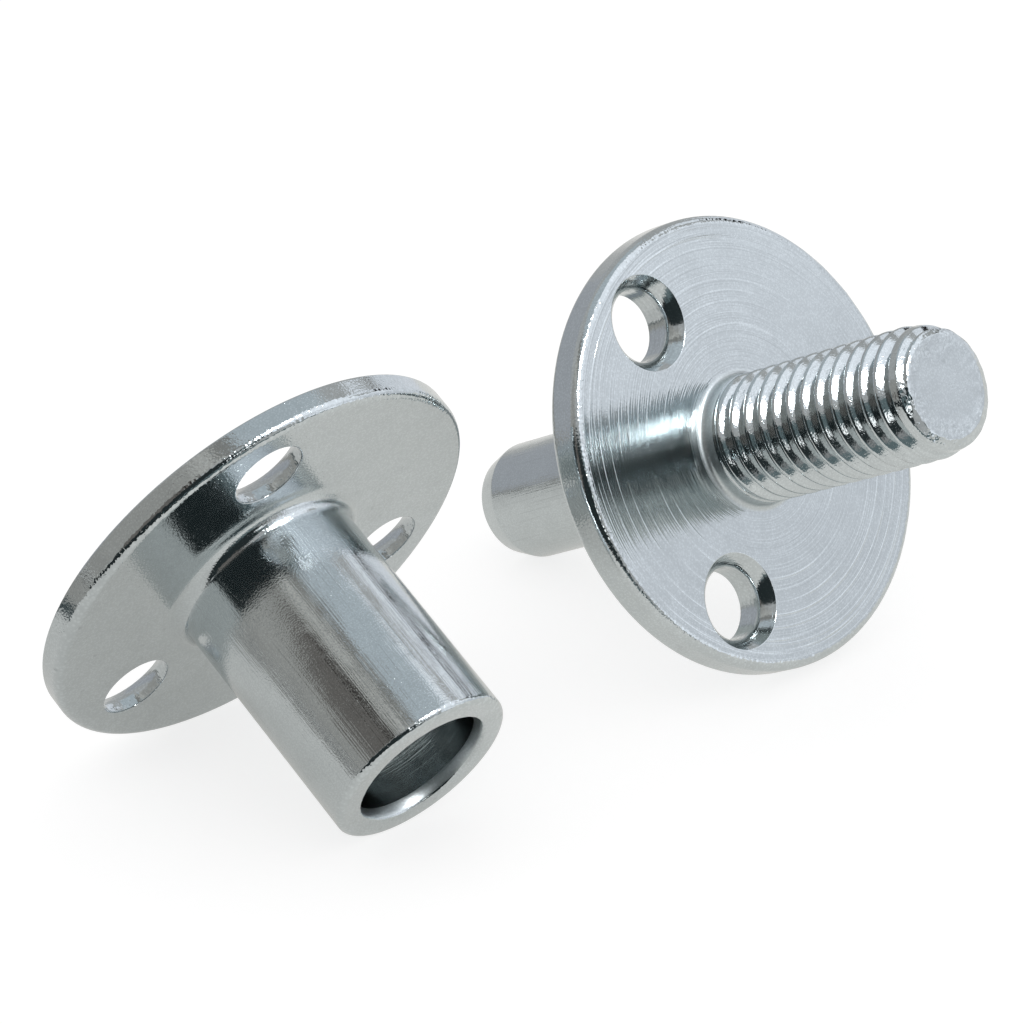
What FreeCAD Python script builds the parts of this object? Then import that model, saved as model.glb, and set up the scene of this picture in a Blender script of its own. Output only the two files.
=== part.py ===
import FreeCAD, Part
import math
import os

import Sketcher

# Bed rail fastener in two halves that screw together face to face. One half is a round flange
# with a threaded stud in front and a plain pin behind, the other a round flange on a tapped
# sleeve. Both flanges take three countersunk wood screws. Each half is modelled about its own
# axis, +Z out of the flange's front face, and then lies on the floor on its flange rim and on
# the end of its pin or sleeve. Threads are held as plain cylinders: the stud at the thread's
# outside diameter, the sleeve at its tapping bore.

# Driving dimensions in millimetres and degrees.
SIZES = [
    ("thread_diameter", 10.0, "outside diameter of the stud's thread"),
    ("thread_pitch", 1.5, "coarse pitch, sets the tapping bore of the sleeve"),
    ("flange_diameter", 35.0, "both flanges"),
    ("screw_circle_diameter", 25.2, "circle through the screw holes"),
    ("screw_hole_count", 3, "screw holes in each flange"),
    ("screw_hole_diameter", 5.5, "clearance for a wood screw"),
    ("countersink_diameter", 7.3, "mouth of the countersink on the front face"),
    ("countersink_angle", 90.0, "full angle of the countersink"),
    ("stud_flange_thickness", 3.0, "flange of the stud half"),
    ("stud_rim_radius", 0.7, "rounded rim on the back of that flange"),
    ("stud_length", 20.5, "front face to stud tip"),
    ("stud_tip_chamfer", 1.1, "lead-in at the stud tip"),
    ("pin_diameter", 9.3, "plain pin behind the flange"),
    ("pin_length", 24.0, "back face to pin end"),
    ("pin_taper_length", 2.0, "lead-in at the pin end"),
    ("pin_end_diameter", 8.0, "small end of the lead-in"),
    ("sleeve_flange_thickness", 2.0, "flange of the sleeve half"),
    ("sleeve_rim_radius", 0.5, "rounded rim on the back of that flange"),
    ("sleeve_diameter", 14.2, "outside of the sleeve"),
    ("sleeve_length", 19.5, "back face to sleeve end"),
    ("sleeve_root_flare", 0.7, "sleeve into back face"),
    ("sleeve_end_chamfer", 0.35, "outer edge of the sleeve end"),
    ("bore_mouth_diameter", 10.4, "countersink at the front of the tapped bore"),
    ("bore_mouth_depth", 0.65, "depth of that countersink"),
    ("relief_diameter", 10.1, "plain bore in the sleeve's end, clear of the thread"),
    ("relief_depth", 7.0, "sleeve end to the end of the plain bore"),
    ("relief_mouth_diameter", 10.5, "eased mouth of the plain bore"),
    ("relief_mouth_depth", 1.0, "depth of that mouth"),
    ("stud_heading", -42.75, "way the stud points, counter-clockwise from +X"),
    ("stud_hole_turn", 86.9, "turn of the stud half's screw holes about its axis"),
    ("sleeve_heading", 131.9, "way the sleeve half's front face points"),
    ("sleeve_hole_turn", 42.6, "turn of the sleeve half's screw holes about its axis"),
    ("pair_heading", 44.4, "direction from the sleeve half across to the stud half"),
    ("rim_gap", 3.8, "room between the two flange rims, across"),
    ("stagger", 13.0, "distance that the stud half lies further forward"),
]


def make_sheet(doc):
    sheet = doc.addObject("Spreadsheet::Sheet", "sizes")
    for row, (alias, value, note) in enumerate(SIZES, start=1):
        sheet.set(f"A{row}", alias)
        sheet.set(f"B{row}", str(value))
        sheet.set(f"C{row}", note)
        sheet.setAlias(f"B{row}", alias)
    doc.recompute()
    return sheet


def make_body(doc, label):
    body = doc.addObject("PartDesign::Body", label)
    body.Label = label
    return body


def origin_plane(body, role):
    return next(plane for plane in body.Origin.OriginFeatures if plane.Role == role)


def make_sketch(body, name, role):
    sketch = body.newObject("Sketcher::SketchObject", name)
    sketch.AttachmentSupport = (origin_plane(body, role), [""])
    sketch.MapMode = "FlatFace"
    return sketch


# A closed half-section, radius across and height up. Level and upright lines are kept so.
def draw_section(sketch, points):
    corners = [FreeCAD.Vector(radius, height, 0) for radius, height in points]
    count = len(corners)
    for index, start in enumerate(corners):
        end = corners[(index + 1) % count]
        sketch.addGeometry(Part.LineSegment(start, end), False)
    for index, start in enumerate(corners):
        following = (index + 1) % count
        end = corners[following]
        sketch.addConstraint(Sketcher.Constraint("Coincident", index, 2, following, 1))
        if start.y == end.y:
            sketch.addConstraint(Sketcher.Constraint("Horizontal", index))
        elif start.x == end.x and start.x > 0:
            sketch.addConstraint(Sketcher.Constraint("Vertical", index))


# Ties the start of one section line to the origin, "X" for a radius and "Y" for a height.
def tie(sketch, line, direction, name, formula):
    point = sketch.Geometry[line].StartPoint
    value = abs(point.x if direction == "X" else point.y)
    below = direction == "Y" and point.y < 0
    ends = (line, 1, -1, 1) if below else (-1, 1, line, 1)
    number = sketch.addConstraint(Sketcher.Constraint("Distance" + direction, *ends, value))
    sketch.renameConstraint(number, name)
    sketch.setExpression("Constraints." + name, formula)


def put_on_axis(sketch, line, axis):
    sketch.addConstraint(Sketcher.Constraint("PointOnObject", line, 1, axis))


def revolve(body, sketch):
    turned = body.newObject("PartDesign::Revolution", body.Name + "_turned")
    turned.Profile = sketch
    turned.ReferenceAxis = (sketch, ["V_Axis"])
    turned.Angle = 360
    body.Document.recompute()
    return turned


# Names of the circular edges of that radius at that height about the body's axis.
def ring_edges(shape, radius, height):
    found = []
    for number, edge in enumerate(shape.Edges, start=1):
        curve = edge.Curve
        if isinstance(curve, Part.Circle):
            near = abs(curve.Radius - radius) < 1e-4 and abs(curve.Center.z - height) < 1e-4
            if near and math.hypot(curve.Center.x, curve.Center.y) < 1e-4:
                found.append(f"Edge{number}")
    if not found:
        raise ValueError(f"no edge of radius {radius} at height {height}")
    return found


def dress_edge(body, kind, name, radius, height, formula):
    base = body.Tip
    feature = body.newObject("PartDesign::" + kind, name)
    feature.Base = (base, ring_edges(base.Shape, radius, height))
    feature.setExpression("Radius" if kind == "Fillet" else "Size", formula)
    body.Document.recompute()
    return feature


# One countersunk hole drilled from the front face, then repeated about the axis.
def drill_screw_holes(body, sheet):
    spot = make_sketch(body, body.Name + "_screw_spot", "XY_Plane")
    spot_radius = sheet.screw_circle_diameter / 2
    spot.addGeometry(
        Part.Circle(
            FreeCAD.Vector(spot_radius, 0, 0),
            FreeCAD.Vector(0, 0, 1),
            sheet.screw_hole_diameter / 2,
        ),
        False,
    )
    put_on_horizontal = Sketcher.Constraint("PointOnObject", 0, 3, -1)
    spot.addConstraint(put_on_horizontal)
    reach = spot.addConstraint(Sketcher.Constraint("DistanceX", -1, 1, 0, 3, spot_radius))
    spot.renameConstraint(reach, "reach")
    spot.setExpression("Constraints.reach", "sizes.screw_circle_diameter / 2")
    width = spot.addConstraint(Sketcher.Constraint("Diameter", 0, sheet.screw_hole_diameter))
    spot.renameConstraint(width, "width")
    spot.setExpression("Constraints.width", "sizes.screw_hole_diameter")
    body.Document.recompute()

    hole = body.newObject("PartDesign::Hole", body.Name + "_screw_hole")
    hole.Profile = spot
    body.Document.recompute()
    hole.DepthType = "ThroughAll"
    hole.HoleCutType = "Countersink"
    hole.HoleCutCustomValues = True
    hole.setExpression("Diameter", "sizes.screw_hole_diameter")
    hole.setExpression("HoleCutDiameter", "sizes.countersink_diameter")
    hole.setExpression("HoleCutCountersinkAngle", "sizes.countersink_angle")
    body.Document.recompute()

    ring = body.newObject("PartDesign::PolarPattern", body.Name + "_screw_ring")
    ring.Originals = [hole]
    ring.Axis = (spot, ["N_Axis"])
    ring.Angle = 360
    ring.setExpression("Occurrences", "sizes.screw_hole_count")
    body.Tip = ring
    body.Document.recompute()


# Solid half: pin, flange and stud headed from one bar.
def make_stud_half(doc, sheet):
    body = make_body(doc, "flanged_stud")
    flange = sheet.flange_diameter / 2
    stud = sheet.thread_diameter / 2
    pin = sheet.pin_diameter / 2
    back = -sheet.stud_flange_thickness
    pin_end = back - sheet.pin_length
    section = make_sketch(body, "stud_section", "XZ_Plane")
    draw_section(
        section,
        [
            (0, pin_end),
            (sheet.pin_end_diameter / 2, pin_end),
            (pin, pin_end + sheet.pin_taper_length),
            (pin, back),
            (flange, back),
            (flange, 0),
            (stud, 0),
            (stud, sheet.stud_length),
            (0, sheet.stud_length),
        ],
    )
    put_on_axis(section, 0, -2)
    put_on_axis(section, 8, -2)
    put_on_axis(section, 5, -1)
    pin_end_formula = "sizes.stud_flange_thickness + sizes.pin_length"
    tie(section, 1, "X", "pin_end_radius", "sizes.pin_end_diameter / 2")
    tie(section, 1, "Y", "pin_end_height", pin_end_formula)
    tie(section, 2, "X", "pin_radius", "sizes.pin_diameter / 2")
    tie(section, 2, "Y", "taper_height", pin_end_formula + " - sizes.pin_taper_length")
    tie(section, 4, "X", "flange_radius", "sizes.flange_diameter / 2")
    tie(section, 4, "Y", "back_height", "sizes.stud_flange_thickness")
    tie(section, 7, "X", "stud_radius", "sizes.thread_diameter / 2")
    tie(section, 7, "Y", "stud_height", "sizes.stud_length")
    revolve(body, section)
    dress_edge(body, "Fillet", "stud_rim", flange, back, "sizes.stud_rim_radius")
    dress_edge(body, "Chamfer", "stud_tip", stud, sheet.stud_length, "sizes.stud_tip_chamfer")
    drill_screw_holes(body, sheet)
    return body


# Hollow half: flange and sleeve in one, tapped from the front and bored clear at the sleeve's end.
def make_sleeve_half(doc, sheet):
    body = make_body(doc, "flanged_sleeve")
    flange = sheet.flange_diameter / 2
    sleeve = sheet.sleeve_diameter / 2
    bore = (sheet.thread_diameter - sheet.thread_pitch) / 2
    mouth = sheet.bore_mouth_diameter / 2
    relief = sheet.relief_diameter / 2
    back = -sheet.sleeve_flange_thickness
    end = back - sheet.sleeve_length
    relief_end = end + sheet.relief_depth
    section = make_sketch(body, "sleeve_section", "XZ_Plane")
    draw_section(
        section,
        [
            (bore, -sheet.bore_mouth_depth),
            (mouth, 0),
            (flange, 0),
            (flange, back),
            (sleeve, back),
            (sleeve, end),
            (sheet.relief_mouth_diameter / 2, end),
            (relief, end + sheet.relief_mouth_depth),
            (relief, relief_end),
            (bore, relief_end + relief - bore),
        ],
    )
    put_on_axis(section, 1, -1)
    end_formula = "sizes.sleeve_flange_thickness + sizes.sleeve_length"
    tie(section, 0, "X", "bore_radius", "(sizes.thread_diameter - sizes.thread_pitch) / 2")
    tie(section, 0, "Y", "front_mouth_height", "sizes.bore_mouth_depth")
    tie(section, 1, "X", "front_mouth_radius", "sizes.bore_mouth_diameter / 2")
    tie(section, 3, "X", "flange_radius", "sizes.flange_diameter / 2")
    tie(section, 3, "Y", "back_height", "sizes.sleeve_flange_thickness")
    tie(section, 5, "X", "sleeve_radius", "sizes.sleeve_diameter / 2")
    tie(section, 5, "Y", "sleeve_end_height", end_formula)
    tie(section, 6, "X", "relief_mouth_radius", "sizes.relief_mouth_diameter / 2")
    tie(section, 7, "X", "relief_radius", "sizes.relief_diameter / 2")
    tie(section, 7, "Y", "relief_mouth_height", end_formula + " - sizes.relief_mouth_depth")
    tie(section, 8, "Y", "relief_height", end_formula + " - sizes.relief_depth")
    # The plain bore narrows to the thread on a 45 degree cone.
    narrowing = "(sizes.relief_diameter - sizes.thread_diameter + sizes.thread_pitch) / 2"
    tie(section, 9, "Y", "thread_end_height", f"{end_formula} - sizes.relief_depth - {narrowing}")
    revolve(body, section)
    dress_edge(body, "Fillet", "sleeve_rim", flange, back, "sizes.sleeve_rim_radius")
    dress_edge(body, "Chamfer", "sleeve_root", sleeve, back, "sizes.sleeve_root_flare")
    dress_edge(body, "Chamfer", "sleeve_end_edge", sleeve, end, "sizes.sleeve_end_chamfer")
    drill_screw_holes(body, sheet)
    return body


# A rounded ring about the axis: how far behind the front face its centre circle is, the radius
# of that circle, and the radius of the rounding.
def ring(depth, radius, rounding):
    return {"depth": depth, "radius": radius, "rounding": rounding}


def flange_rim(sheet, thickness, rounding):
    return ring(thickness - rounding, sheet.flange_diameter / 2 - rounding, rounding)


# Tilt of the front face's axis above the floor when the rim and the end ring both touch it.
def lying_tilt(rim, end):
    along = end["depth"] - rim["depth"]
    across = rim["radius"] - end["radius"]
    lift = rim["rounding"] - end["rounding"]
    return math.atan2(across, along) + math.asin(lift / math.hypot(across, along))


# Lays a half on the floor. It tips back until the first of its end rings touches.
def lay_down(rim, ends, heading, hole_turn):
    tilt = min(lying_tilt(rim, end) for end in ends)
    height = rim["depth"] * math.sin(tilt) + rim["radius"] * math.cos(tilt) + rim["rounding"]
    turn = FreeCAD.Rotation(FreeCAD.Vector(0, 0, 1), hole_turn)
    tip = FreeCAD.Rotation(FreeCAD.Vector(0, 1, 0), 90 - math.degrees(tilt))
    swing = FreeCAD.Rotation(FreeCAD.Vector(0, 0, 1), heading)
    return FreeCAD.Placement(FreeCAD.Vector(0, 0, height), swing * tip * turn)


def lay_stud_half(sheet):
    rim = flange_rim(sheet, sheet.stud_flange_thickness, sheet.stud_rim_radius)
    end = sheet.stud_flange_thickness + sheet.pin_length
    ends = [
        ring(end, sheet.pin_end_diameter / 2, 0),
        ring(end - sheet.pin_taper_length, sheet.pin_diameter / 2, 0),
    ]
    return lay_down(rim, ends, sheet.stud_heading, sheet.stud_hole_turn)


def lay_sleeve_half(sheet):
    rim = flange_rim(sheet, sheet.sleeve_flange_thickness, sheet.sleeve_rim_radius)
    end = sheet.sleeve_flange_thickness + sheet.sleeve_length
    chamfer = sheet.sleeve_end_chamfer
    ends = [
        ring(end, sheet.sleeve_diameter / 2 - chamfer, 0),
        ring(end - chamfer, sheet.sleeve_diameter / 2, 0),
    ]
    return lay_down(rim, ends, sheet.sleeve_heading, sheet.sleeve_hole_turn)


# Sets the halves side by side, their rims apart by the gap, and centres the pair on the origin.
def set_out_pair(sheet, stud_half, sleeve_half):
    across = math.radians(sheet.pair_heading)
    spread = sheet.flange_diameter + sheet.rim_gap
    sideways = FreeCAD.Vector(math.cos(across), math.sin(across), 0) * spread
    forwards = FreeCAD.Vector(math.sin(across), -math.cos(across), 0) * sheet.stagger
    stud_half.Placement = lay_stud_half(sheet)
    sleeve_half.Placement = lay_sleeve_half(sheet)
    stud_half.Placement.move(sideways + forwards)
    stud_half.Document.recompute()
    pair = Part.makeCompound([stud_half.Shape, sleeve_half.Shape])
    box = pair.optimalBoundingBox(False, False)
    middle = FreeCAD.Vector(box.Center.x, box.Center.y, 0)
    for half in (stud_half, sleeve_half):
        half.Placement.move(-middle)
    stud_half.Document.recompute()


def check_document(doc, halves):
    for item in doc.Objects:
        if "Invalid" in item.State or "Error" in item.State:
            raise RuntimeError(f"{item.Name} did not compute: {item.State}")
    for half in halves:
        shape = half.Shape
        if shape.isNull() or not shape.isValid() or len(shape.Solids) != 1:
            raise RuntimeError(f"{half.Label} is not one valid solid")


def main():
    doc = FreeCAD.newDocument("bed_rail_fastener")
    sheet = make_sheet(doc)
    halves = [make_stud_half(doc, sheet), make_sleeve_half(doc, sheet)]
    set_out_pair(sheet, *halves)
    check_document(doc, halves)
    os.makedirs("parts", exist_ok=True)
    for half in halves:
        half.Shape.exportStep(f"parts/{half.Label}.step")
        box = half.Shape.optimalBoundingBox(False, False)
        print(half.Label, f"{half.Shape.Volume:.1f} mm3", half.Placement, box)


main()
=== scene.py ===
import math

import bmesh
import bpy
from mathutils import Matrix, Vector, noise


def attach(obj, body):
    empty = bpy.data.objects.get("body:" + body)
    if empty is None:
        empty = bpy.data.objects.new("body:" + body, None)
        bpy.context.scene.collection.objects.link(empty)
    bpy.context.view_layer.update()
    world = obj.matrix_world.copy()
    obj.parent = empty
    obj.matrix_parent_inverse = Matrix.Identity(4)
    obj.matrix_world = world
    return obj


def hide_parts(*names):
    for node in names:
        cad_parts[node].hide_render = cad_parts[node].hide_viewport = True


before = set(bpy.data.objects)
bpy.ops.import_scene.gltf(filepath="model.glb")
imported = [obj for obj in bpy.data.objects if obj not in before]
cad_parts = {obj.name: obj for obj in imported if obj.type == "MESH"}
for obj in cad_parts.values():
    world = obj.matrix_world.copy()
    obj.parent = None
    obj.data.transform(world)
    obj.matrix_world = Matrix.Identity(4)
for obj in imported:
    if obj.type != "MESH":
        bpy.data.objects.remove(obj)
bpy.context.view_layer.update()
scene = bpy.context.scene
scene.view_settings.view_transform = "Standard"
print("frame loaded, nodes:", ", ".join(sorted(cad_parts)))


# node helpers, for shaders and for Geometry Nodes

def addNode(tree, kind, **settings):
    node = tree.nodes.new(kind)
    for key, value in settings.items():
        setattr(node, key, value)
    return node


def wire(tree, source, target):
    tree.links.new(source, target)


def feed(tree, value, target):
    # a number is set on the socket, anything else is wired to it
    if isinstance(value, (int, float)):
        target.default_value = value
    else:
        wire(tree, value, target)


def mathNode(tree, operation, first, second=None, third=None, clamp=False):
    node = addNode(tree, "ShaderNodeMath", operation=operation, use_clamp=clamp)
    for index, value in enumerate((first, second, third)):
        if value is not None:
            feed(tree, value, node.inputs[index])
    return node.outputs[0]


def spread(tree, value, low, high, newLow=0.0, newHigh=1.0):
    node = addNode(tree, "ShaderNodeMapRange", interpolation_type="SMOOTHSTEP")
    for label, number in (("Value", value), ("From Min", low), ("From Max", high), ("To Min", newLow),
                          ("To Max", newHigh)):
        feed(tree, number, node.inputs[label])
    return node.outputs["Result"]


def cloud(tree, vector, scale, detail=2.0, distortion=0.0):
    node = addNode(tree, "ShaderNodeTexNoise")
    wire(tree, vector, node.inputs["Vector"])
    feed(tree, scale, node.inputs["Scale"])
    node.inputs["Detail"].default_value = detail
    node.inputs["Distortion"].default_value = distortion
    return node.outputs["Fac"]


def joinXyz(tree, x, y, z):
    node = addNode(tree, "ShaderNodeCombineXYZ")
    for index, value in enumerate((x, y, z)):
        feed(tree, value, node.inputs[index])
    return node.outputs[0]


def polar(tree, vector):
    # distance from the axis, and the direction round it with no seam
    split = addNode(tree, "ShaderNodeSeparateXYZ")
    wire(tree, vector, split.inputs[0])
    x, y, z = split.outputs
    radius = mathNode(tree, "SQRT", mathNode(tree, "ADD", mathNode(tree, "MULTIPLY", x, x),
                                             mathNode(tree, "MULTIPLY", y, y)))
    safe = mathNode(tree, "MAXIMUM", radius, 0.05)  # the axis itself has no direction
    return radius, mathNode(tree, "DIVIDE", x, safe), mathNode(tree, "DIVIDE", y, safe), z


def newGroup(name, values, outputs):
    group = bpy.data.node_groups.new(name, "ShaderNodeTree")
    group.interface.new_socket("Vector", in_out="INPUT", socket_type="NodeSocketVector")
    for label, value in values.items():
        socket = group.interface.new_socket(label, in_out="INPUT", socket_type="NodeSocketFloat")
        socket.default_value = value
    for label in outputs:
        group.interface.new_socket(label, in_out="OUTPUT", socket_type="NodeSocketFloat")
    return group, group.nodes.new("NodeGroupInput").outputs, group.nodes.new("NodeGroupOutput").inputs


# what the zinc plate and the tools leave on the steel, all in millimetres
# two numbers for a mark are the span of its cloud that counts, and two more what that span becomes

plateMarks = {
    "crystal": 0.2, "patch": 2.4, "patchDetail": 4.0, "patchBend": 0.6,
    "pimples": 1.1, "pimpleFrom": (0.64, 0.76), "pimpleHeight": 0.6,
    "facetTone": (0.1, 0.65, 1.04, 0.92), "patchTone": (0.3, 0.7, 0.97, 1.02),
    "patchGloss": (0.35, 0.7, 0.9, 1.2),
}


def makePlateGrain(marks):
    # plating: small facets that break up reflections, sparse pimples, faint dull patches
    group, given, result = newGroup(
        "plateGrain", {"Crystal Size": marks["crystal"], "Patch Size": marks["patch"]},
        ["Tone", "Gloss", "Height"])
    vector = given["Vector"]
    fine = mathNode(group, "DIVIDE", 1.0, given["Crystal Size"])
    facet = addNode(group, "ShaderNodeTexVoronoi")
    wire(group, vector, facet.inputs["Vector"])
    wire(group, fine, facet.inputs["Scale"])
    facets = facet.outputs["Distance"]
    specks = cloud(group, vector, mathNode(group, "MULTIPLY", fine, marks["pimples"]), 0.0)
    pimple = spread(group, specks, *marks["pimpleFrom"])
    patch = cloud(group, vector, mathNode(group, "DIVIDE", 1.0, given["Patch Size"]),
                  marks["patchDetail"], marks["patchBend"])
    wire(group, mathNode(group, "MULTIPLY_ADD", pimple, marks["pimpleHeight"], facets), result["Height"])
    wire(group, mathNode(group, "MULTIPLY", spread(group, patch, *marks["patchTone"]),
                         spread(group, facets, *marks["facetTone"])), result["Tone"])
    wire(group, spread(group, patch, *marks["patchGloss"]), result["Gloss"])
    return group


ringMarks = {
    "smoothRadius": 8.3, "feed": 0.9, "denseRadius": 15.2,
    # clouds drawn out into rings: rings in a millimetre, how far they wander, detail
    "fine": (9.0, 1.4), "dense": (4.2, 0.9), "feedBend": (0.12, 0.6), "feedBreaks": (0.4, 0.9, 1.0),
    "bendBy": 1.2, "feedWidth": (0.03, 0.12, 1.0, 0.0), "breaksTo": (0.4, 0.6, 0.15, 1.0),
    "smoothFade": (-0.3, 0.5), "denseFade": (-0.6, 0.5), "denseFrom": (0.52, 0.64),
    "grooveWidth": (0.0, 0.14, 1.0, 0.0),
    "feedHeight": 0.8, "denseHeight": 0.7, "grooveHeight": -0.2,
    "feedTone": 0.07, "denseTone": 0.045, "grooveTone": -0.06,
}


def makeTurnedRings(marks):
    # facing marks: fine rings all over, thin feed lines outside a smooth middle, a dense set by the rim
    group, given, result = newGroup(
        "turnedRings", {"Smooth Radius": marks["smoothRadius"], "Feed": marks["feed"],
                        "Dense Radius": marks["denseRadius"]}, ["Tone", "Height"])
    radius, across, along, _ = polar(group, given["Vector"])

    def ringCloud(ringsPerMm, wander, detail=0.0):
        return cloud(group, joinXyz(group, mathNode(group, "MULTIPLY", radius, ringsPerMm),
                                    mathNode(group, "MULTIPLY", across, wander),
                                    mathNode(group, "MULTIPLY", along, wander)), 1.0, detail)

    pastSmooth = mathNode(group, "SUBTRACT", radius, given["Smooth Radius"])
    pastDense = mathNode(group, "SUBTRACT", radius, given["Dense Radius"])
    feedStep = mathNode(group, "MULTIPLY_ADD", ringCloud(*marks["feedBend"]), marks["bendBy"],
                        mathNode(group, "DIVIDE", radius, given["Feed"]))
    fromMiddle = mathNode(group, "SUBTRACT", mathNode(group, "FRACT", feedStep), 0.5)
    offLine = mathNode(group, "ABSOLUTE", fromMiddle)
    shown = mathNode(group, "MULTIPLY", spread(group, pastSmooth, *marks["smoothFade"]),
                     spread(group, ringCloud(*marks["feedBreaks"]), *marks["breaksTo"]))
    feedLine = mathNode(group, "MULTIPLY", spread(group, offLine, *marks["feedWidth"]), shown)
    dense = mathNode(group, "MULTIPLY", spread(group, ringCloud(*marks["dense"]), *marks["denseFrom"]),
                     spread(group, pastDense, *marks["denseFade"]))
    groove = spread(group, mathNode(group, "ABSOLUTE", pastSmooth), *marks["grooveWidth"])

    def addMarks(value, effect):
        for mark, mask in (("feed", feedLine), ("dense", dense), ("groove", groove)):
            value = mathNode(group, "MULTIPLY_ADD", mask, marks[mark + effect], value)
        return value

    wire(group, addMarks(ringCloud(*marks["fine"]), "Height"), result["Height"])
    wire(group, addMarks(1.0, "Tone"), result["Tone"])
    return group


boreMarks = {"width": 0.14, "wander": 0.7, "detail": 2.0, "tone": (0.35, 0.68, 0.96, 1.04)}


def makeToolLines(marks):
    # fine lines round a bored or turned wall
    group, given, result = newGroup("toolLines", {"Line Width": marks["width"]}, ["Tone", "Height"])
    _, across, along, z = polar(group, given["Vector"])
    lines = cloud(group, joinXyz(group, mathNode(group, "MULTIPLY", across, marks["wander"]),
                                 mathNode(group, "MULTIPLY", along, marks["wander"]),
                                 mathNode(group, "DIVIDE", z, given["Line Width"])), 1.0, marks["detail"])
    wire(group, lines, result["Height"])
    wire(group, spread(group, lines, *marks["tone"]), result["Tone"])
    return group


barMarks = {
    "width": 0.12, "alongBar": 0.09, "stretches": 0.33, "strength": (0.42, 0.62, 0.3, 1.0),
    "darkFrom": (0.6, 0.72), "darkTone": -0.14,
}


def makeDrawnLines(marks):
    # fine lines along the bar, in stretches
    group, given, result = newGroup("drawnLines", {"Line Width": marks["width"]}, ["Tone", "Height"])
    radius, across, along, z = polar(group, given["Vector"])
    turn = mathNode(group, "DIVIDE", radius, given["Line Width"])
    lines = cloud(group, joinXyz(group, mathNode(group, "MULTIPLY", across, turn),
                                 mathNode(group, "MULTIPLY", along, turn),
                                 mathNode(group, "MULTIPLY", z, marks["alongBar"])), 1.0)
    strong = spread(group, cloud(group, given["Vector"], marks["stretches"]), *marks["strength"])
    wire(group, mathNode(group, "MULTIPLY", lines, strong), result["Height"])
    dark = mathNode(group, "MULTIPLY", spread(group, lines, *marks["darkFrom"]), strong)
    wire(group, mathNode(group, "MULTIPLY_ADD", dark, marks["darkTone"], 1.0), result["Tone"])
    return group


packingMarks = {
    "amount": 0.5, "slant": (0.5, 0.9, 0.4), "stretch": (0.25, 2.6, 2.6),
    "scratches": 1.3, "scratchWidth": (0.0, 0.016, 1.0, 0.0), "patches": 0.42, "patchFrom": (0.55, 0.68),
    "knocks": 0.55, "knockWidth": (0.05, 0.15, 1.0, 0.0),
}


def makeHandlingMarks(marks):
    # small knocks and short scratches from loose packing
    group, given, result = newGroup("handlingMarks", {"Amount": marks["amount"]}, ["Mask", "Height"])
    slant = addNode(group, "ShaderNodeMapping")
    slant.inputs["Rotation"].default_value = marks["slant"]
    slant.inputs["Scale"].default_value = marks["stretch"]
    wire(group, given["Vector"], slant.inputs["Vector"])
    streaks = cloud(group, slant.outputs[0], marks["scratches"], 1.0)
    across = mathNode(group, "ABSOLUTE", mathNode(group, "SUBTRACT", streaks, 0.5))
    sparse = spread(group, cloud(group, given["Vector"], marks["patches"], 1.0), *marks["patchFrom"])
    scratch = mathNode(group, "MULTIPLY", spread(group, across, *marks["scratchWidth"]), sparse)
    knock = addNode(group, "ShaderNodeTexVoronoi")
    wire(group, given["Vector"], knock.inputs["Vector"])
    knock.inputs["Scale"].default_value = marks["knocks"]
    dent = spread(group, knock.outputs["Distance"], *marks["knockWidth"])
    either = mathNode(group, "MAXIMUM", scratch, dent)
    mask = mathNode(group, "MULTIPLY", either, given["Amount"], clamp=True)
    wire(group, mask, result["Mask"])
    wire(group, mathNode(group, "MULTIPLY", mask, -1.0), result["Height"])
    return group


shearedMarks = {
    "smoothRadius": 2.5, "patches": 0.45, "uneven": (5.0, -2.5), "fade": (0.0, 1.3, 0.05, 1.0),
    "ripples": (2.4, 3.0, 1.4), "dull": (0.35, 0.6, -0.1, 0.05),
}


def makeShearMarks(marks):
    # the sheared end of a bar: ripples that grow towards its edge
    group, given, result = newGroup("shearMarks", {"Smooth Radius": marks["smoothRadius"]},
                                    ["Tone", "Height"])
    radius, _, _, _ = polar(group, given["Vector"])
    patches = cloud(group, given["Vector"], marks["patches"], 1.0)
    uneven = mathNode(group, "MULTIPLY_ADD", patches, *marks["uneven"])
    wavy = mathNode(group, "ADD", radius, uneven)
    pastSmooth = mathNode(group, "SUBTRACT", wavy, given["Smooth Radius"])
    reach = spread(group, pastSmooth, *marks["fade"])
    ripples = cloud(group, given["Vector"], *marks["ripples"])
    wire(group, mathNode(group, "MULTIPLY", ripples, reach), result["Height"])
    dull = mathNode(group, "MULTIPLY", spread(group, ripples, *marks["dull"]), reach)
    wire(group, mathNode(group, "ADD", dull, 1.0), result["Tone"])
    return group


toolMarks = {
    "rings": makeTurnedRings(ringMarks), "lines": makeDrawnLines(barMarks),
    "tool": makeToolLines(boreMarks), "shear": makeShearMarks(shearedMarks),
}
plateGrain = makePlateGrain(plateMarks)
handlingMarks = makeHandlingMarks(packingMarks)

zincColour = (0.626, 0.673, 0.685)
knockEffect = {"height": 0.15, "tone": -0.18, "rough": 0.12}
bumpDepth = 0.00001  # metres for a mark of height 1
millimetre = 0.001
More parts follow.
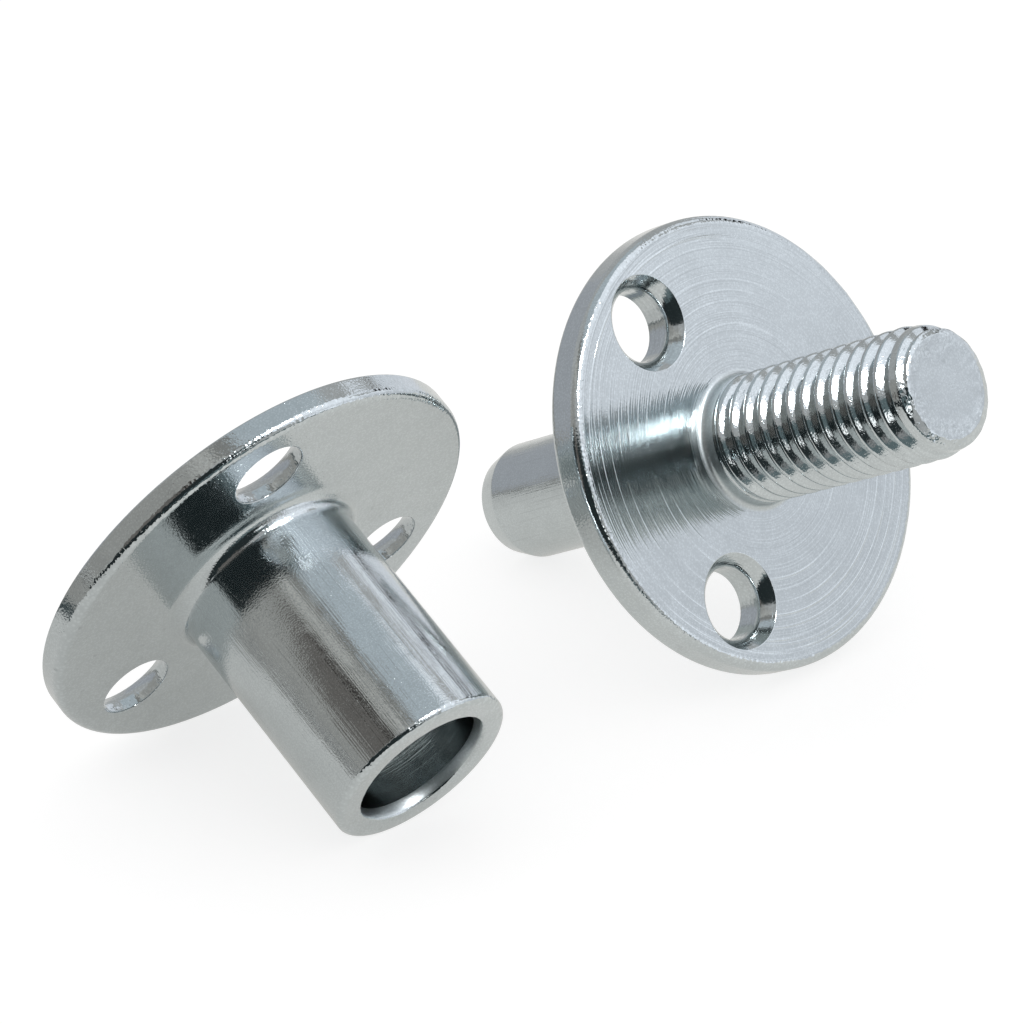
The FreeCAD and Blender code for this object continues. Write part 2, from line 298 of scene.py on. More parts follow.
# one row for each finish: how rough, crystal size and depth, knocks, and the depth of its tool marks
zincLooks = {
    "turned": {"rough": 0.10, "crystal": 0.20, "grain": 0.10, "marks": 0.2, "rings": 1.2},
    "plated": {"rough": 0.10, "crystal": 0.18, "grain": 0.55, "marks": 0.45},
    "drawn": {"rough": 0.08, "crystal": 0.13, "grain": 0.36, "marks": 0.35, "lines": 2.0},
    "threaded": {"rough": 0.08, "crystal": 0.16, "grain": 0.28, "marks": 0.8, "tool": 0.5},
    "bored": {"rough": 0.12, "crystal": 0.20, "grain": 0.22, "marks": 0.3, "tool": 1.5},
    "sheared": {"rough": 0.12, "crystal": 0.20, "grain": 0.10, "marks": 0.8, "shear": 5.0},
    "knocked": {"rough": 0.08, "crystal": 0.30, "grain": 1.5, "marks": 0.8},
    "dulled": {"rough": 0.34, "crystal": 0.20, "grain": 0.30, "marks": 0.3},
}
# their places in a half's list of finishes
turned, plated, drawn, threaded, bored, sheared, knocked, dulled = range(len(zincLooks))


def layDown(half):
    # from the half's own frame, flange front at z 0, to where it lies on the floor
    lean = Matrix.Rotation(math.radians(90 - half["tilt"]), 4, "Y")
    heading = Matrix.Rotation(math.radians(half["heading"]), 4, "Z")
    turn = Matrix.Rotation(math.radians(half["turn"]), 4, "Z")
    return Matrix.Translation(half["place"]) @ heading @ lean @ turn


def zincFinish(name, half, look):
    # one plated finish, its pattern laid in the half's own frame in millimetres
    material = bpy.data.materials.new(name)
    material.use_nodes = True
    tree = material.node_tree
    shader = tree.nodes["Principled BSDF"]
    shader.inputs["Metallic"].default_value = 1.0
    coords = addNode(tree, "ShaderNodeTexCoord")
    mapping = addNode(tree, "ShaderNodeMapping", vector_type="TEXTURE")
    place = layDown(half)
    mapping.inputs["Location"].default_value = place.to_translation() * millimetre
    mapping.inputs["Rotation"].default_value = place.to_euler("XYZ")
    mapping.inputs["Scale"].default_value = (millimetre,) * 3
    wire(tree, coords.outputs["Object"], mapping.inputs["Vector"])

    def marks(group):
        node = addNode(tree, "ShaderNodeGroup", node_tree=group)
        wire(tree, mapping.outputs["Vector"], node.inputs["Vector"])
        return node

    grain = marks(plateGrain)
    grain.inputs["Crystal Size"].default_value = look["crystal"]
    tone = grain.outputs["Tone"]
    height = mathNode(tree, "MULTIPLY", grain.outputs["Height"], look["grain"])
    for kind, group in toolMarks.items():
        if kind in look:
            lines = marks(group)
            tone = mathNode(tree, "MULTIPLY", tone, lines.outputs["Tone"])
            height = mathNode(tree, "MULTIPLY_ADD", lines.outputs["Height"], look[kind], height)
    knocks = marks(handlingMarks)
    knocks.inputs["Amount"].default_value = look["marks"]
    height = mathNode(tree, "MULTIPLY_ADD", knocks.outputs["Height"], knockEffect["height"], height)
    mask = knocks.outputs["Mask"]
    darker = mathNode(tree, "MULTIPLY_ADD", mask, knockEffect["tone"], 1.0)
    tone = mathNode(tree, "MULTIPLY", tone, darker)

    tint = addNode(tree, "ShaderNodeMix", data_type="RGBA", blend_type="MULTIPLY")
    tint.inputs["Factor"].default_value = 1.0
    tint.inputs["A"].default_value = (*zincColour, 1.0)
    gray = addNode(tree, "ShaderNodeCombineColor")
    for channel in gray.inputs:
        wire(tree, tone, channel)
    wire(tree, gray.outputs[0], tint.inputs["B"])
    wire(tree, tint.outputs["Result"], shader.inputs["Base Color"])
    rough = mathNode(tree, "MULTIPLY", grain.outputs["Gloss"], look["rough"])
    wire(tree, mathNode(tree, "MULTIPLY_ADD", mask, knockEffect["rough"], rough, clamp=True),
         shader.inputs["Roughness"])
    bump = addNode(tree, "ShaderNodeBump")
    bump.inputs["Distance"].default_value = bumpDepth
    wire(tree, height, bump.inputs["Height"])
    wire(tree, bump.outputs["Normal"], shader.inputs["Normal"])
    return material


def zincFinishes(half):
    return [zincFinish(kind + half["name"], half, look) for kind, look in zincLooks.items()]


# screw threads, as a skin wound round the half's axis

threadForm = {  # height along half a pitch, from the middle of a crest to the middle of a groove
    "rolled": [(0.0, 0.97), (0.042, 1.0), (0.083, 0.95), (0.12, 0.86), (0.42, 0.12), (0.46, 0.03),
               (0.5, 0.0)],
    "tapped": [(0.0, 1.0), (0.12, 1.0), (0.16, 0.93), (0.44, 0.05), (0.5, 0.0)],
}
threadSizes = ["Start", "End", "Pitch", "Crest Radius", "Root Radius", "Start Radius", "Start Slope",
               "End Radius", "End Slope", "Ease Radius", "Ease Slope", "Run Out", "Turn Offset"]
threadCounts = ["Segments", "Rows", "Rows Per Turn"]
mergeGap = 0.002  # points nearer than this become one


def threadTree(name, form, inside):
    tree = bpy.data.node_groups.new(name, "GeometryNodeTree")
    tree.is_modifier = True
    tree.interface.new_socket("Geometry", in_out="INPUT", socket_type="NodeSocketGeometry")
    for label in threadSizes:
        tree.interface.new_socket(label, in_out="INPUT", socket_type="NodeSocketFloat")
    for label in threadCounts:
        tree.interface.new_socket(label, in_out="INPUT", socket_type="NodeSocketInt")
    tree.interface.new_socket("Finish", in_out="INPUT", socket_type="NodeSocketMaterial")
    tree.interface.new_socket("Geometry", in_out="OUTPUT", socket_type="NodeSocketGeometry")
    given = tree.nodes.new("NodeGroupInput").outputs
    result = tree.nodes.new("NodeGroupOutput").inputs

    # a flat grid, one column for each step round the axis, whose rows climb one pitch a turn
    grid = tree.nodes.new("GeometryNodeMeshGrid")
    grid.inputs["Size X"].default_value = 1.0
    grid.inputs["Size Y"].default_value = 1.0
    wire(tree, mathNode(tree, "ADD", given["Segments"], 1.0), grid.inputs["Vertices X"])
    wire(tree, given["Rows"], grid.inputs["Vertices Y"])
    split = tree.nodes.new("ShaderNodeSeparateXYZ")
    wire(tree, tree.nodes.new("GeometryNodeInputPosition").outputs[0], split.inputs[0])
    share = mathNode(tree, "ADD", split.outputs["X"], 0.5)  # part of a turn
    lastRow = mathNode(tree, "SUBTRACT", given["Rows"], 1.0)
    upGrid = mathNode(tree, "ADD", split.outputs["Y"], 0.5)
    row = mathNode(tree, "ROUND", mathNode(tree, "MULTIPLY", upGrid, lastRow))
    rowTurns = mathNode(tree, "DIVIDE", row, given["Rows Per Turn"])
    turns = mathNode(tree, "ADD", mathNode(tree, "SUBTRACT", rowTurns, 1.0), share)
    climb = mathNode(tree, "MULTIPLY_ADD", turns, given["Pitch"], given["Start"])
    z = mathNode(tree, "MINIMUM", mathNode(tree, "MAXIMUM", climb, given["Start"]), given["End"])
    fromStart = mathNode(tree, "SUBTRACT", z, given["Start"])
    toEnd = mathNode(tree, "SUBTRACT", given["End"], z)
    wound = mathNode(tree, "SUBTRACT", mathNode(tree, "DIVIDE", fromStart, given["Pitch"]), share)
    wound = mathNode(tree, "ADD", wound, given["Turn Offset"])
    phase = mathNode(tree, "FRACT", mathNode(tree, "ADD", wound, 4.0))  # whole turns keep it above 0

    curve = tree.nodes.new("ShaderNodeFloatCurve")
    points = curve.mapping.curves[0].points
    whole = form + [(1.0 - x, y) for x, y in reversed(form[:-1])]
    points[0].location = whole[0]
    points[1].location = whole[-1]
    for spot in whole[1:-1]:
        points.new(*spot)
    for point in points:
        point.handle_type = "VECTOR"
    curve.mapping.update()
    wire(tree, phase, curve.inputs["Value"])
    depth = mathNode(tree, "SUBTRACT", given["Crest Radius"], given["Root Radius"])
    radius = mathNode(tree, "MULTIPLY_ADD", curve.outputs["Value"], depth, given["Root Radius"])

    if inside:  # cones at both ends cut the crests away
        startCone = mathNode(tree, "SUBTRACT", given["Start Radius"],
                             mathNode(tree, "MULTIPLY", fromStart, given["Start Slope"]))
        endCone = mathNode(tree, "SUBTRACT", given["End Radius"],
                           mathNode(tree, "MULTIPLY", toEnd, given["End Slope"]))
        radius = mathNode(tree, "MAXIMUM", radius, mathNode(tree, "MAXIMUM", startCone, endCone))
    else:  # grooves run out at the neck, and the tip is eased down to a short cone
        fade = spread(tree, fromStart, 0.0, given["Run Out"])
        groove = mathNode(tree, "SUBTRACT", radius, given["Crest Radius"])
        radius = mathNode(tree, "MULTIPLY_ADD", groove, fade, given["Crest Radius"])
        endCone = mathNode(tree, "MULTIPLY_ADD", toEnd, given["End Slope"], given["End Radius"])
        ease = mathNode(tree, "MULTIPLY_ADD", toEnd, given["Ease Slope"], given["Ease Radius"])
        radius = mathNode(tree, "MINIMUM", radius, mathNode(tree, "MINIMUM", endCone, ease))

    angle = mathNode(tree, "MULTIPLY", share, 2 * math.pi)
    spot = joinXyz(tree, mathNode(tree, "MULTIPLY", radius, mathNode(tree, "COSINE", angle)),
                   mathNode(tree, "MULTIPLY", radius, mathNode(tree, "SINE", angle)), z)
    move = tree.nodes.new("GeometryNodeSetPosition")
    wire(tree, grid.outputs["Mesh"], move.inputs["Geometry"])
    wire(tree, spot, move.inputs["Position"])
    merge = tree.nodes.new("GeometryNodeMergeByDistance")
    merge.inputs["Distance"].default_value = mergeGap
    wire(tree, move.outputs[0], merge.inputs["Geometry"])
    realize = tree.nodes.new("GeometryNodeRealizeInstances")
    wire(tree, merge.outputs[0], realize.inputs[0])
    finish = tree.nodes.new("GeometryNodeSetMaterial")
    wire(tree, realize.outputs[0], finish.inputs["Geometry"])
    wire(tree, given["Finish"], finish.inputs["Material"])
    wire(tree, finish.outputs[0], result["Geometry"])
    return tree


roundSteps = 144  # facets round each turned form
holeSteps = 48  # facets round a screw hole
rowsPerTurn = 24  # steps along one pitch of a thread


def cutThread(name, tree, values, finish):
    # a plain mesh of the thread, the modifier gone
    turns = (values["End"] - values["Start"]) / values["Pitch"]
    rows = math.ceil(turns * rowsPerTurn) + rowsPerTurn + 1
    values = {**values, "Segments": roundSteps, "Rows": rows, "Rows Per Turn": rowsPerTurn,
              "Finish": finish}
    carrier = bpy.data.objects.new(name, bpy.data.meshes.new(name))
    scene.collection.objects.link(carrier)
    modifier = carrier.modifiers.new("thread", "NODES")
    modifier.node_group = tree
    for item in tree.interface.items_tree:
        if item.in_out == "INPUT" and item.name in values:
            modifier[item.identifier] = values[item.name]
    mesh = bpy.data.meshes.new_from_object(carrier.evaluated_get(bpy.context.evaluated_depsgraph_get()))
    bpy.data.objects.remove(carrier)
    print(name, "cut:", len(mesh.polygons), "faces")
    return mesh


# turned bodies, from half-sections of (distance from the axis, height)

def arc(midR, midZ, radius, fromDeg, toDeg, steps):
    angles = [math.radians(fromDeg + (toDeg - fromDeg) * i / steps) for i in range(steps + 1)]
    return [(midR + radius * math.cos(angle), midZ + radius * math.sin(angle)) for angle in angles]


def beside(radius, z, edge):
    # the points of a small edge, given as steps (out, up) from its corner
    return [(radius + out, z + up) for out, up in edge]


def skin(bm, section, steps, finish, middle=(0.0, 0.0)):
    # the half-section swept round, with one finish or one for each band; a point on the axis closes it
    rings = []
    bands = finish if isinstance(finish, list) else [finish] * len(section)
    for radius, z in section:
        angles = [2 * math.pi * i / steps for i in range(steps if radius else 1)]
        spots = [(middle[0] + radius * math.cos(a), middle[1] + radius * math.sin(a), z) for a in angles]
        rings.append([bm.verts.new(spot) for spot in spots])
    for near, far, kind in zip(rings, rings[1:], bands):
        for i in range(steps):
            j = (i + 1) % steps
            corners = (near[i], near[j], far[0]) if len(far) == 1 else (near[i], near[j], far[j], far[i])
            bm.faces.new(corners).material_index = kind
    return rings


def roughen(verts, outward, upward, scale):
    # small uneven knocks along an edge
    for vert in verts:
        shift = noise.noise(vert.co * scale)
        away = Vector((vert.co.x, vert.co.y, 0.0)).normalized()
        vert.co += away * (shift * outward) + Vector((0.0, 0.0, shift * upward))


def fillFlat(bm, loops, finish):
    # a flat face between its outer edge, its inner edge and the mouths of its holes
    edges = []
    for verts in loops:
        for near, far in zip(verts, verts[1:] + verts[:1]):
            edges.append(bm.edges.get((near, far)) or bm.edges.new((near, far)))
    made = bmesh.ops.triangle_fill(bm, use_beauty=True, use_dissolve=False, edges=edges)
    for item in made["geom"]:
        if isinstance(item, bmesh.types.BMFace):
            item.material_index = finish


screwHoles = {
    "count": 3, "circle": 12.6, "radius": 2.75, "sink": 3.65, "hold": 0.04,
    # broken edges: out and up, as shares of the lip
    "lip": 0.05, "frontLip": [(1.0, 0.0), (0.3, -0.3), (-0.4, -1.0)],
    "backLip": [(0.0, 1.0), (0.3, 0.3), (1.0, 0.0)], "aboveLip": 0.08,
    # the cone softened into the straight hole: out and down, as shares of the blend
    "blend": 0.45, "belowBlend": 0.1,
    "blendLine": [(1.6, -1.6), (1.0, -1.0), (0.55, -0.48), (0.22, -0.02), (0.05, 0.5), (0.0, 1.0)],
}


def screwHole(bm, number, thick, finish):
    # countersunk at 90 degrees from the front, through to the back
    angle = 2 * math.pi * number / screwHoles["count"]
    middle = (screwHoles["circle"] * math.cos(angle), screwHoles["circle"] * math.sin(angle))
    wide, narrow, blend, lip = (screwHoles[key] for key in ("sink", "radius", "blend", "lip"))
    deep, back, hold = wide - narrow, -thick, screwHoles["hold"]
    section = [(wide + lip + hold, 0.0)]
    section += [(wide + lip * out, lip * up) for out, up in screwHoles["frontLip"]]
    section += [(narrow + blend * out, -(deep + blend * down)) for out, down in screwHoles["blendLine"]]
    section += [(narrow, -(deep + blend + screwHoles["belowBlend"])),
                (narrow, back + lip + screwHoles["aboveLip"])]
    section += [(narrow + lip * out, back + lip * up) for out, up in screwHoles["backLip"]]
    section += [(narrow + lip + hold, back)]
    rings = skin(bm, section, holeSteps, finish, middle)
    return rings[0], rings[-1]


holds = {"face": 0.05, "wall": 0.06, "root": 0.08}  # narrow bands beside rounds, so that flats shade flat


def flangeRim(half, frontSteps):
    # the rim's half-section, from the front face round to the back one
    rim, thick, front, back = (half[key] for key in ("flangeRadius", "thick", "frontRound", "backRound"))
    return [(rim - front - holds["face"], 0.0), *arc(rim - front, -front, front, 90, 0, frontSteps),
            (rim, -front - holds["wall"]), (rim, back - thick + holds["wall"]),
            *arc(rim - back, back - thick, back, 0, -90, 8), (rim - back - holds["wall"], -thick)]


def takeThread(bm, mesh, knockedFrom):
    # the thread's faces come first and take the thread finish, knocked above a height
    bm.from_mesh(mesh)
    for face in bm.faces:
        face.material_index = knocked if face.calc_center_median().z > knockedFrom else threaded
    bpy.data.meshes.remove(mesh)


def finishBody(bm, half, finishes, node):
    bmesh.ops.remove_doubles(bm, verts=bm.verts, dist=mergeGap)
    bmesh.ops.dissolve_degenerate(bm, dist=mergeGap / 4, edges=bm.edges)
    bmesh.ops.recalc_face_normals(bm, faces=bm.faces)
    openEdges = sum(1 for edge in bm.edges if not edge.is_manifold)
    for face in bm.faces:
        face.smooth = True
    bm.transform(Matrix.Scale(millimetre, 4) @ layDown(half))
    mesh = bpy.data.meshes.new(half["name"])
    bm.to_mesh(mesh)
    bm.free()
    for material in finishes:
        mesh.materials.append(material)
    body = bpy.data.objects.new("flanged" + half["name"], mesh)
    scene.collection.objects.link(body)
    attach(body, "root")
    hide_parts(node)
    print(body.name, "made:", len(mesh.polygons), "faces, open edges", openEdges)


studHalf = {
    "name": "Stud",
    "place": (17.3232, 8.91744, 16.5262), "heading": -42.75, "tilt": 28.83586729, "turn": 86.9,
    "flangeRadius": 17.5, "thick": 3.0, "frontRound": 0.7, "backRound": 0.7,
    "studRadius": 5.0, "studTop": 20.5, "tipRadius": 3.9, "tipBand": 0.5, "neck": 1.15,
    "neckRound": 0.5, "neckHold": 0.1, "faceHold": 0.04,
    "pinRadius": 4.65, "pinRoot": 0.45, "taperTop": -25.0, "pinEnd": -27.0, "pinEndRadius": 4.0,
    "endRing": 2.0,  # a ring inside the flat ends
    "tipEdge": [(0.0, 0.0), (-0.05, 0.015), (-0.13, 0.015), (-0.4, 0.01)],
    "taperEdge": [(0.0, 0.12), (-0.008, 0.0), (-0.05, -0.14)],
    "pinEdge": [(0.08, 0.26), (0.02, 0.1), (-0.06, 0.02), (-0.16, 0.0), (-0.24, 0.0)],
    "tipKnocks": (0.07, 0.05, 2.3), "rimKnocks": (0.03, 0.02, 1.9),  # out, up, how closely set
}
studThread = {
    "Start": studHalf["neck"], "End": studHalf["studTop"], "Pitch": 1.5,
    "Crest Radius": studHalf["studRadius"], "Root Radius": 4.08, "End Radius": studHalf["tipRadius"],
    "End Slope": 2.4, "Ease Radius": 4.5, "Ease Slope": 0.24, "Run Out": 0.9,
    "Turn Offset": 3 / rowsPerTurn,
}


def makeStudHalf(half):
    finishes = zincFinishes(half)
    bm = bmesh.new()
    thick, stud, neck, top = half["thick"], half["studRadius"], half["neckRound"], half["studTop"]
    pin, root, low, ring = half["pinRadius"], half["pinRoot"], half["pinEnd"], half["endRing"]
    tree = threadTree("rolledThread", threadForm["rolled"], False)
    thread = cutThread("studThread", tree, studThread, finishes[threaded])
    takeThread(bm, thread, top - half["tipBand"])
    tipPart = skin(bm, [*beside(half["tipRadius"], top, half["tipEdge"]), (ring, top), (0.0, top)],
                   roundSteps, [knocked] * 3 + [sheared] * 3)
    roughen(tipPart[1] + tipPart[2], *half["tipKnocks"])
    neckPart = skin(bm, [(stud, half["neck"]), (stud, neck + half["neckHold"]),
                         *arc(stud + neck, neck, neck, 180, 270, 6),
                         (stud + neck + half["faceHold"], 0.0)], roundSteps, dulled)
    wall = skin(bm, flangeRim(half, 8), roundSteps, [knocked] * 4 + [plated] * 17)  # front edge knocked
    roughen(wall[2] + wall[3] + wall[4] + wall[5], *half["rimKnocks"])
    pinPart = skin(bm, [(pin + root + holds["face"], -thick),
                        *arc(pin + root, -thick - root, root, 90, 180, 7),
                        (pin, -thick - root - holds["root"]),
                        *beside(pin, half["taperTop"], half["taperEdge"]),
                        *beside(half["pinEndRadius"], low, half["pinEdge"]), (ring, low), (0.0, low)],
                   roundSteps, drawn)
    holes = [screwHole(bm, number, thick, bored) for number in range(screwHoles["count"])]
    fillFlat(bm, [neckPart[-1], wall[0], *[hole[0] for hole in holes]], turned)
    fillFlat(bm, [pinPart[0], wall[-1], *[hole[1] for hole in holes]], plated)
    finishBody(bm, half, finishes, "flanged_stud")


sleeveHalf = {
    "name": "Sleeve",
    "place": (-19.494, -8.94135, 16.2095), "heading": 131.9, "tilt": 28.04184357, "turn": 42.6,
    "flangeRadius": 17.5, "thick": 2.0, "frontRound": 0.14, "backRound": 0.62,
    "sleeveRadius": 7.1, "rootRound": 1.2, "sleeveEnd": -21.5, "endRound": 0.47,
    "reliefMouth": 5.25, "reliefRadius": 5.05, "reliefTop": -14.5, "reliefHold": 0.1,
    "frontMouth": 5.2,
    "mouthEdge": [(0.16, 0.0), (0.08, 0.025), (0.02, 0.08), (-0.05, 0.2), (-0.11, 0.42)],
    "mouthFoot": [(0.03, 0.75), (0.0, 1.0)],  # where the mouth meets the relief
    "rimKnocks": (0.03, 0.02, 1.3), "mouthKnocks": (0.03, 0.02, 2.1),  # out, up, how closely set
}
boreThread = {
    "Start": sleeveHalf["reliefTop"], "End": 0.0, "Pitch": 1.5, "Crest Radius": 4.25, "Root Radius": 5.0,
    "Start Radius": sleeveHalf["reliefRadius"], "Start Slope": 1.0,
    "End Radius": sleeveHalf["frontMouth"], "End Slope": 1.46, "Turn Offset": 0.0,
}


def makeSleeveHalf(half):
    finishes = zincFinishes(half)
    bm = bmesh.new()
    thick, sleeve, low, root = half["thick"], half["sleeveRadius"], half["sleeveEnd"], half["rootRound"]
    end, relief, reliefTop = half["endRound"], half["reliefRadius"], half["reliefTop"]
    tree = threadTree("tappedThread", threadForm["tapped"], True)
    thread = cutThread("boreThread", tree, boreThread, finishes[threaded])
    takeThread(bm, thread, thick)  # it all lies lower, so none is knocked
    mouth = half["frontMouth"]
    frontMouth = skin(bm, [(mouth, 0.0), (mouth + holds["face"], 0.0)], roundSteps, plated)
    wall = skin(bm, flangeRim(half, 5), roundSteps, [plated] * 8 + [knocked] * 10)  # back edge knocked
    roughen(wall[-6] + wall[-5] + wall[-4], *half["rimKnocks"])
    endFlat = (sleeve - end - holds["wall"], low)
    barrel = skin(bm, [(sleeve + root + holds["wall"], -thick),
                       *arc(sleeve + root, -thick - root, root, 90, 180, 9),
                       (sleeve, -thick - root - holds["root"]), (sleeve, low + end + holds["root"]),
                       *arc(sleeve - end, low + end, end, 0, -90, 6), endFlat],
                  roundSteps, [drawn] * 13 + [knocked] * 7)
    inner = skin(bm, [endFlat, *beside(half["reliefMouth"], low, half["mouthEdge"]),
                      *beside(relief, low, half["mouthFoot"]),
                      (relief, reliefTop - half["reliefHold"]), (relief, reliefTop)],
                 roundSteps, [plated] * 4 + [dulled] * 3 + [bored] * 2)
    roughen(inner[2] + inner[3], *half["mouthKnocks"])
    holeBands = [bored] * 8 + [knocked] * 7
    holes = [screwHole(bm, number, thick, holeBands) for number in range(screwHoles["count"])]
    fillFlat(bm, [frontMouth[-1], wall[0], *[hole[0] for hole in holes]], turned)
    fillFlat(bm, [barrel[0], wall[-1], *[hole[1] for hole in holes]], plated)
    finishBody(bm, half, finishes, "flanged_sleeve")


makeStudHalf(studHalf)
makeSleeveHalf(sleeveHalf)

viewpoint = {
    "place": (-0.00064974, -0.27558073, 0.14814247), "look": 64.18834,
    "lens": 146.23, "sensor": 36.0, "nearest": 0.01,
}
cameraData = bpy.data.cameras.new("camera")
cameraData.lens = viewpoint["lens"]
cameraData.sensor_width = viewpoint["sensor"]
cameraData.clip_start = viewpoint["nearest"]
camera = bpy.data.objects.new("camera", cameraData)
camera.location = viewpoint["place"]
camera.rotation_euler = (math.radians(viewpoint["look"]), 0.0, 0.0)
scene.collection.objects.link(camera)
scene.camera = camera
print("camera set")


# white table, light tent and world

def stageMesh(name, corners):
    mesh = bpy.data.meshes.new(name)
    mesh.from_pydata(corners, [], [tuple(range(len(corners)))])
    thing = bpy.data.objects.new(name, mesh)
    scene.collection.objects.link(thing)
    return thing


def flatCorners(lowX, lowY, highX, highY, z):
    return [(lowX, lowY, z), (highX, lowY, z), (highX, highY, z), (lowX, highY, z)]


plainWhite, coolWhite, skyWhite = (1.0, 1.0, 1.0), (0.945, 0.968, 1.03), (0.9, 0.985, 1.05)
warmWhite, teal, brown = (1.0, 0.98, 0.935), (0.72, 0.95, 1.0), (1.0, 0.92, 0.86)
tableLook = {
    "reach": 3.0, "paper": 0.35, "seen": 0.75,
    "mirrored": (-0.04, 0.01, 0.36, 0.52),  # painted light seen only in the metal, brighter to the right: from and to in x, and the levels
}
reach = tableLook["reach"]
table = stageMesh("table", flatCorners(-reach, -reach, reach, reach, 0.0))
tablePaper = bpy.data.materials.new("tablePaper")
tablePaper.use_nodes = True
tree = tablePaper.node_tree
tree.nodes.clear()
paper = addNode(tree, "ShaderNodeBsdfDiffuse")
paper.inputs["Color"].default_value = (tableLook["paper"],) * 3 + (1.0,)
glow = addNode(tree, "ShaderNodeEmission")
reflected = addNode(tree, "ShaderNodeEmission")
reflected.inputs["Color"].default_value = (*warmWhite, 1.0)
rays = addNode(tree, "ShaderNodeLightPath")
shiny = mathNode(tree, "MAXIMUM", rays.outputs["Is Glossy Ray"], rays.outputs["Is Transmission Ray"])
spot = addNode(tree, "ShaderNodeSeparateXYZ")
wire(tree, addNode(tree, "ShaderNodeTexCoord").outputs["Object"], spot.inputs[0])
# painted light on the table for the metal: its glow rises towards the right
mirrored = spread(tree, spot.outputs["X"], *tableLook["mirrored"])
seen = mathNode(tree, "MULTIPLY", rays.outputs["Is Camera Ray"], tableLook["seen"])
wire(tree, seen, glow.inputs["Strength"])
wire(tree, mathNode(tree, "MULTIPLY", shiny, mirrored), reflected.inputs["Strength"])
surface = paper.outputs[0]
for light in (glow, reflected):
    both = addNode(tree, "ShaderNodeAddShader")
    wire(tree, surface, both.inputs[0])
    wire(tree, light.outputs[0], both.inputs[1])
    surface = both.outputs[0]
wire(tree, surface, addNode(tree, "ShaderNodeOutputMaterial").inputs["Surface"])
table.data.materials.append(tablePaper)


def glowCard(name, corners, level, tint):
    # a card that only the metal sees
    card = stageMesh(name, corners)
    shade = bpy.data.materials.new(name)
    shade.use_nodes = True
    cardTree = shade.node_tree
    cardTree.nodes.clear()
    light = addNode(cardTree, "ShaderNodeEmission")
    light.inputs["Color"].default_value = (*tint, 1.0)
    light.inputs["Strength"].default_value = level
    wire(cardTree, light.outputs[0], addNode(cardTree, "ShaderNodeOutputMaterial").inputs["Surface"])
    card.data.materials.append(shade)
    card.visible_camera = False
    card.visible_diffuse = False
    card.visible_shadow = False
    card.visible_transmission = False


tentMiddle = Vector((0.0, 0.0, 0.018))  # the cards stand round this point


def hangCard(name, azimuth, elevation, wide, tall, far, level, tint):
    # azimuth 0 is behind the object and 90 on its right; width and height in degrees
    a, e = math.radians(azimuth), math.radians(elevation)
    out = Vector((math.sin(a) * math.cos(e), math.cos(a) * math.cos(e), math.sin(e)))
    side = Vector((math.cos(a), -math.sin(a), 0.0))
    up = side.cross(out)
    middle = out * far + tentMiddle
    halfWide, halfTall = (far * math.tan(math.radians(angle / 2)) for angle in (wide, tall))
    glowCard(name, [middle + side * (x * halfWide) + up * (y * halfTall)
                    for x, y in ((-1, -1), (1, -1), (1, 1), (-1, 1))], level, tint)


def stackCards(name, stack, tint):
    # a wall that changes with height, as cards one above the other
    for step, level in enumerate(stack["levels"]):
        elevation = stack["lowest"] + stack["rise"] * step
        azimuth = stack["azimuth"] + stack["lean"] * elevation
        hangCard("%s%d" % (name, step), azimuth, elevation, stack["wide"], stack["tall"], stack["far"],
                 level, tint)


tentCards = [  # name, azimuth, elevation, width, height, distance, level, tint
    ("rightLow", 84, -2, 62, 22, 0.64, 0.78, coolWhite),
    ("rightWindow", 105, 3, 24, 14, 0.58, 1.20, coolWhite),
    ("backRight", 36, 8, 44, 40, 0.66, 0.90, coolWhite),
    ("backGap", 44, 28, 18, 7.5, 0.62, 0.01, plainWhite),
    ("backStrip", 47, 38, 18, 14, 0.64, 1.05, coolWhite),
    ("topCloth", 60, 82, 62, 44, 0.60, 0.60, skyWhite),
    ("leftWall", -62, 8, 76, 40, 0.70, 0.48, coolWhite),
    ("frontOpening", 184, 10, 88, 66, 0.50, 0.035, teal),
    ("openingEdge", 149, 31, 13, 18, 0.48, 0.20, teal),
    ("openingFoot", 141, 0.5, 12, 9, 0.48, 0.32, plainWhite),
    ("frontWindow", 148, 21, 9, 9, 0.46, 1.80, plainWhite),
    ("lampWing", 72, 52, 22, 22, 0.55, 1.20, coolWhite),
    ("lampPanel", 108, 50, 52, 42, 0.52, 1.25, coolWhite),
    ("lampCore", 132, 57, 18, 14, 0.45, 20.00, plainWhite),
]
rightSteps = {  # brighter towards the lamp
    "levels": (0.84, 0.98, 1.15), "lowest": 11.5, "rise": 7, "azimuth": 84, "lean": 0.0,
    "wide": 66, "tall": 7.2, "far": 0.62,
}
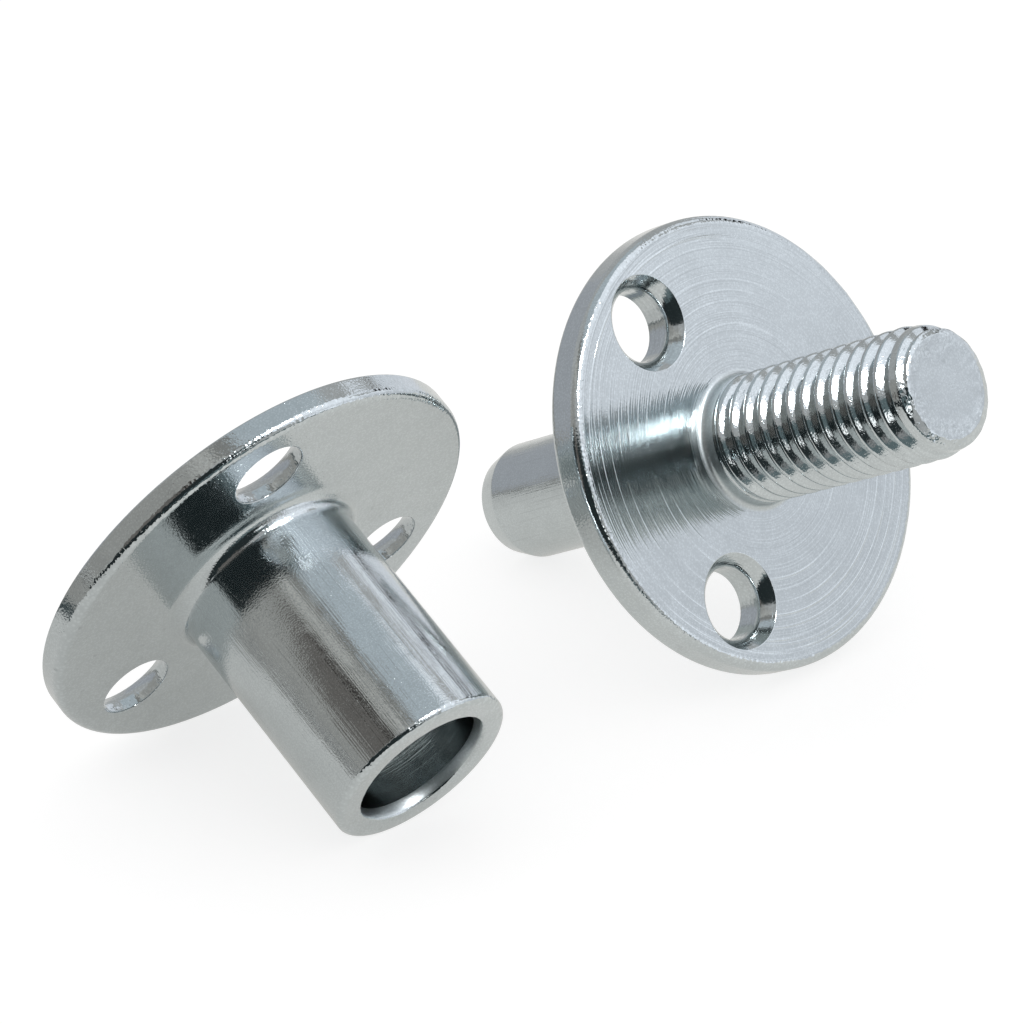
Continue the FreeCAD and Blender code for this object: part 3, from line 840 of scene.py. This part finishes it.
frontSteps = {  # the dimmer left end of the front
    "levels": (0.37, 0.41, 0.40, 0.40, 0.39, 0.42, 0.54, 0.28), "lowest": 5, "rise": 9.5,
    "azimuth": -107, "lean": -0.55, "wide": 36, "tall": 9.8, "far": 0.54,
}
for card in tentCards:
    hangCard(*card)
stackCards("rightWall", rightSteps, coolWhite)
stackCards("frontLeft", frontSteps, warmWhite)
tableCards = [  # name, lowest and highest x and y, height over the table, level, tint
    ("tableFront", (-0.6, -0.62, 0.03, -0.085), 0.0006, 0.03, teal),
    ("tableRight", (0.03, -0.62, 0.6, -0.08), 0.0006, 0.20, teal),
    ("tableLeft", (-0.7, -0.08, -0.10, 0.6), 0.0006, 0.38, warmWhite),
    ("tableShade", (-0.098, -0.03, -0.078, 0.10), 0.0008, 0.08, teal),
]
for name, sides, height, level, tint in tableCards:
    glowCard(name, flatCorners(*sides, height), level, tint)
# a flag close by the sleeve, in two tones
glowCard("flagEdge", [(-0.064, -0.049, 0.033), (-0.042, -0.041, 0.067), (-0.025, -0.061, 0.055),
                      (-0.053, -0.063, 0.024)], 0.17, brown)
glowCard("flag", [(-0.0594, -0.0524, 0.0348), (-0.0406, -0.0439, 0.0638), (-0.0266, -0.0607, 0.0535),
                  (-0.0505, -0.0636, 0.0275)], 0.03, brown)

tentWalls = {"seen": 1.0, "mirrored": 0.5, "light": 0.85}
tent = bpy.data.worlds.new("tent")
scene.world = tent
tent.use_nodes = True
tree = tent.node_tree
rays = addNode(tree, "ShaderNodeLightPath")
strength = tentWalls["light"]
forCamera = mathNode(tree, "MULTIPLY", rays.outputs["Is Camera Ray"], tentWalls["seen"] - strength)
forMetal = mathNode(tree, "MULTIPLY", rays.outputs["Is Glossy Ray"], tentWalls["mirrored"] - strength)
extra = mathNode(tree, "ADD", forCamera, forMetal)
walls = tree.nodes["Background"]
walls.inputs["Color"].default_value = (*plainWhite, 1.0)
wire(tree, mathNode(tree, "ADD", extra, strength), walls.inputs["Strength"])
print("tent set up")
